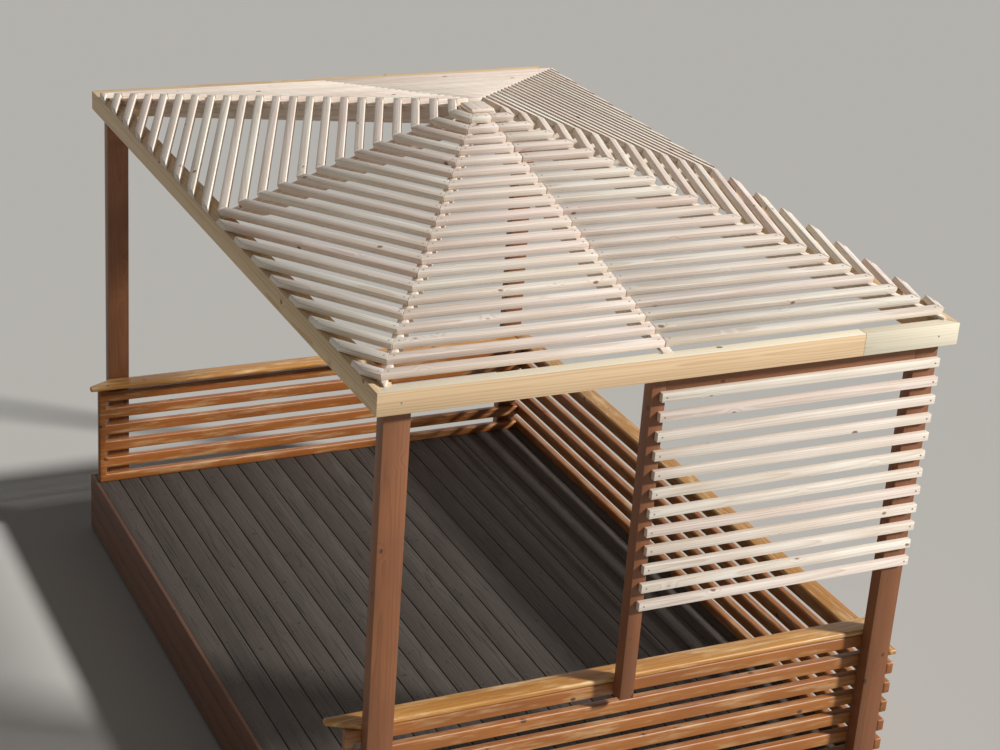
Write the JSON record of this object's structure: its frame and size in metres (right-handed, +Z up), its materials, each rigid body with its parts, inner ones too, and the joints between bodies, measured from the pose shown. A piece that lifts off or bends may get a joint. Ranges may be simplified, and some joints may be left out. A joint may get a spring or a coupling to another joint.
{
  "type": "garden pergola",
  "caption": "Open timber pergola on a raised deck, with low boarded walls, a battened front screen and a hipped roof of mitred slats.",
  "frame": {"origin": "on the ground, at the middle of the roof's plan, under the middle bearer", "axes": "+Z up, -Y towards the front with the screen, -X towards the open side"},
  "size_m": [2.92, 4.33, 3.2138],
  "materials": {
    "deck_weathered": "weathered grey boards",
    "eave_beam_pine": "planed pine, untreated",
    "frame_timber": "sawn pine",
    "post_stained": "planed pine, brown stain",
    "rafter_pine": "sawn pine",
    "roof_slat_pine": "planed pine, untreated",
    "screen_pine": "planed pine, untreated",
    "skirt_stained": "sawn boards, dark brown stain",
    "wall_board_stained": "planed pine, orange brown stain",
    "wall_cap_stained": "planed pine, honey stain"
  },
  "bodies": {
    "root": {"deck_bearer_left": "frame_timber", "deck_bearer_middle": "frame_timber", "deck_bearer_right": "frame_timber", "deck_floor": "deck_weathered", "deck_joists": "frame_timber", "deck_skirt_back": "skirt_stained", "deck_skirt_front": "skirt_stained", "deck_skirt_left": "skirt_stained", "deck_skirt_right": "skirt_stained", "eave_beam_back": "eave_beam_pine", "eave_beam_front": "eave_beam_pine", "eave_beam_left": "eave_beam_pine", "eave_beam_right": "eave_beam_pine", "eave_plate_back": "eave_beam_pine", "hip_rafter_back_left": "rafter_pine", "hip_rafter_back_right": "rafter_pine", "hip_rafter_front_left": "rafter_pine", "hip_rafter_front_right": "rafter_pine", "mid_rafter_back": "rafter_pine", "mid_rafter_front": "rafter_pine", "mid_rafter_left": "rafter_pine", "mid_rafter_right": "rafter_pine", "peak_cap": "roof_slat_pine", "post_back_left": "post_stained", "post_back_right": "post_stained", "post_front_left": "post_stained", "post_front_right": "post_stained", "roof_hub": "rafter_pine", "screen_battens": "screen_pine", "screen_post": "post_stained", "screen_top_rail": "post_stained", "slats_back_slope_left": "roof_slat_pine", "slats_back_slope_right": "roof_slat_pine", "slats_front_slope_left": "roof_slat_pine", "slats_front_slope_right": "roof_slat_pine", "slats_left_slope_back": "roof_slat_pine", "slats_left_slope_front": "roof_slat_pine", "slats_right_slope_back": "roof_slat_pine", "slats_right_slope_front": "roof_slat_pine", "wall_back": "wall_board_stained", "wall_cap_back": "wall_cap_stained", "wall_cap_front": "wall_cap_stained", "wall_cap_right": "wall_cap_stained", "wall_front": "wall_board_stained", "wall_right": "wall_board_stained"}
  },
  "joints": []
}
